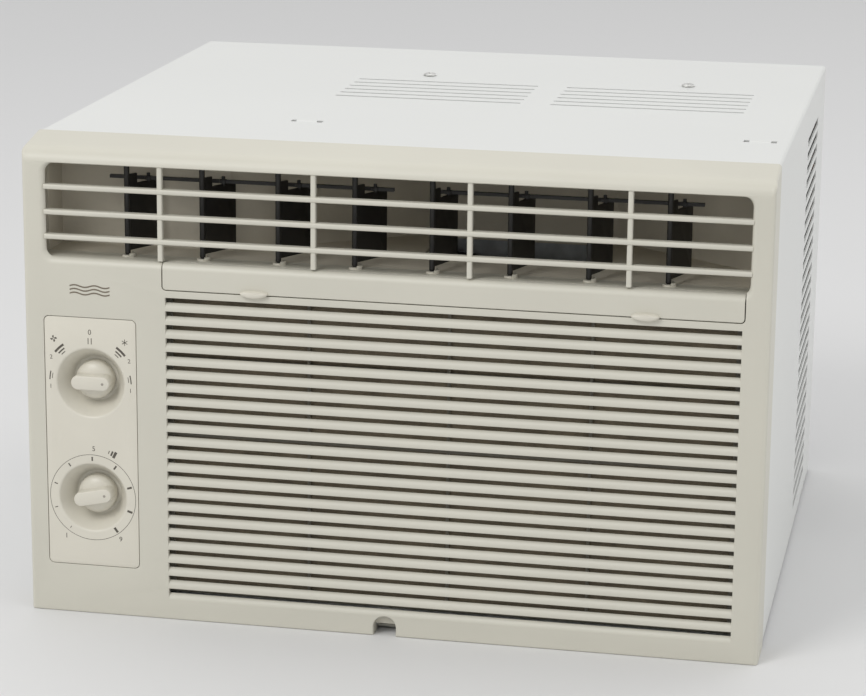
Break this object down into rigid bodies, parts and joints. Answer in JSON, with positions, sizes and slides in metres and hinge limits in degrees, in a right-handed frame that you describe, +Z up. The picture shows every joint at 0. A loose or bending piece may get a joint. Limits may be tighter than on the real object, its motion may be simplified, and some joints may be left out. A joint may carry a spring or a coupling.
{
  "type": "window air conditioner",
  "caption": "Small window air conditioner: beige grille front with swinging air vanes, two-knob control plate, vented steel cabinet, and its blower, compressor and coils inside.",
  "frame": {"origin": "centre of the bounding box on the plane the unit stands on", "axes": "+X to the right seen from the room, +Y from the room side towards the outdoor side, +Z up"},
  "size_m": [0.45, 0.4158, 0.2972],
  "materials": {
    "panel_plastic": "fine moulded texture, warm beige",
    "control_plastic": "satin moulded plastic, cream",
    "filter_plastic": "moulded lattice",
    "filter_netting": "fine woven netting",
    "vane_plastic": "satin black moulding",
    "duct_plastic": "moulded, light dust",
    "cabinet_paint": "off-white powder coat on folded sheet",
    "zinc_steel": "zinc plated",
    "galvanised_steel": "galvanised sheet",
    "foam": "expanded foam bead",
    "fin_aluminium": "plain mill finish",
    "copper": "drawn copper tube, slightly tarnished",
    "black_paint": "satin black paint",
    "black_plastic": "black moulding",
    "rubber": "moulded rubber"
  },
  "bodies": {
    "machine": {"front_panel": "panel_plastic", "control_plate": "control_plastic", "air_filter_frame": "filter_plastic", "air_filter_mesh": "filter_netting", "air_outlet_duct": "duct_plastic", "cabinet": "cabinet_paint", "top_screw_left": "zinc_steel", "top_screw_right": "zinc_steel", "rear_screw_left": "zinc_steel", "rear_screw_right": "zinc_steel", "thermostat_body": "zinc_steel", "base_pan": "galvanised_steel", "bulkhead": "galvanised_steel", "motor_bracket": "galvanised_steel", "control_box": "galvanised_steel", "drain_pan": "foam", "blower_scroll": "foam", "evaporator_fins": "fin_aluminium", "condenser_fins": "fin_aluminium", "run_capacitor": "fin_aluminium", "evaporator_tube_sheet_left": "copper", "evaporator_tube_sheet_right": "copper", "condenser_tube_sheet_left": "copper", "condenser_tube_sheet_right": "copper", "suction_pipe": "copper", "discharge_pipe": "copper", "capillary_tube": "copper", "sensing_bulb": "copper", "fan_motor": "black_paint", "compressor": "black_paint", "accumulator": "black_paint", "condenser_shroud": "black_plastic", "compressor_terminal_cover": "black_plastic", "selector_switch": "black_plastic", "compressor_foot_1": "rubber", "compressor_foot_2": "rubber", "compressor_foot_3": "rubber"},
    "operation_knob": {"operation_knob": "control_plastic", "operation_shaft": "zinc_steel"},
    "thermostat_knob": {"thermostat_knob": "control_plastic", "thermostat_shaft": "zinc_steel"},
    "filter_door": {"filter_door": "panel_plastic"},
    "rotor": {"motor_shaft": "zinc_steel", "blower_wheel": "black_plastic", "condenser_fan": "black_plastic"},
    "tie_bar_left": {"tie_bar_left": "vane_plastic"},
    "tie_bar_right": {"tie_bar_right": "vane_plastic"},
    "vane_1": {"vane_1": "vane_plastic"},
    "vane_2": {"vane_2": "vane_plastic"},
    "vane_3": {"vane_3": "vane_plastic"},
    "vane_4": {"vane_4": "vane_plastic"},
    "vane_5": {"vane_5": "vane_plastic"},
    "vane_6": {"vane_6": "vane_plastic"},
    "vane_7": {"vane_7": "vane_plastic"},
    "vane_8": {"vane_8": "vane_plastic"}
  },
  "joints": [
    {"name": "vane_1_swing", "type": "hinge", "parent": "machine", "child": "vane_1", "pos_m": [-0.16345, -0.1899, 0.25], "axis": [0, 0, 1], "range_deg": [-16, 74]},
    {"name": "vane_2_swing", "type": "hinge", "parent": "machine", "child": "vane_2", "pos_m": [-0.11675, -0.1899, 0.25], "axis": [0, 0, 1], "range_deg": [-16, 74]},
    {"name": "vane_3_swing", "type": "hinge", "parent": "machine", "child": "vane_3", "pos_m": [-0.07005, -0.1899, 0.25], "axis": [0, 0, 1], "range_deg": [-16, 74]},
    {"name": "vane_4_swing", "type": "hinge", "parent": "machine", "child": "vane_4", "pos_m": [-0.02335, -0.1899, 0.25], "axis": [0, 0, 1], "range_deg": [-16, 74]},
    {"name": "vane_5_swing", "type": "hinge", "parent": "machine", "child": "vane_5", "pos_m": [0.02335, -0.1899, 0.25], "axis": [0, 0, 1], "range_deg": [-25, 65]},
    {"name": "vane_6_swing", "type": "hinge", "parent": "machine", "child": "vane_6", "pos_m": [0.07005, -0.1899, 0.25], "axis": [0, 0, 1], "range_deg": [-25, 65]},
    {"name": "vane_7_swing", "type": "hinge", "parent": "machine", "child": "vane_7", "pos_m": [0.11675, -0.1899, 0.25], "axis": [0, 0, 1], "range_deg": [-25, 65]},
    {"name": "vane_8_swing", "type": "hinge", "parent": "machine", "child": "vane_8", "pos_m": [0.16345, -0.1899, 0.25], "axis": [0, 0, 1], "range_deg": [-25, 65]},
    {"name": "tie_bar_left_pin", "type": "hinge", "parent": "vane_1", "child": "tie_bar_left", "pos_m": [-0.15472, -0.17416, 0.27], "axis": [0, 0, 1], "range_deg": [-74, 16]},
    {"name": "tie_bar_right_pin", "type": "hinge", "parent": "vane_5", "child": "tie_bar_right", "pos_m": [0.02951, -0.17299, 0.27], "axis": [0, 0, 1], "range_deg": [-65, 25]},
    {"name": "operation_turn", "type": "hinge", "parent": "machine", "child": "operation_knob", "pos_m": [-0.1841, -0.2039, 0.1475], "axis": [0, -1, 0], "range_deg": [0, 175]},
    {"name": "thermostat_turn", "type": "hinge", "parent": "machine", "child": "thermostat_knob", "pos_m": [-0.184, -0.2039, 0.075], "axis": [0, -1, 0], "range_deg": [-66, 222]},
    {"name": "filter_door_swing", "type": "hinge", "parent": "machine", "child": "filter_door", "pos_m": [0.03575, -0.2009, 0.2223], "axis": [-1, 0, 0], "range_deg": [0, 80]},
    {"name": "rotor_spin", "type": "hinge", "parent": "machine", "child": "rotor", "pos_m": [0.015, -0.0039, 0.14], "axis": [0, 1, 0], "continuous": true}
  ],
  "couplings": [
    {"joint": "vane_2_swing", "follows": "vane_1_swing", "ratio": 1},
    {"joint": "vane_3_swing", "follows": "vane_1_swing", "ratio": 1},
    {"joint": "vane_4_swing", "follows": "vane_1_swing", "ratio": 1},
    {"joint": "tie_bar_left_pin", "follows": "vane_1_swing", "ratio": -1},
    {"joint": "vane_6_swing", "follows": "vane_5_swing", "ratio": 1},
    {"joint": "vane_7_swing", "follows": "vane_5_swing", "ratio": 1},
    {"joint": "vane_8_swing", "follows": "vane_5_swing", "ratio": 1},
    {"joint": "tie_bar_right_pin", "follows": "vane_5_swing", "ratio": -1}
  ]
}
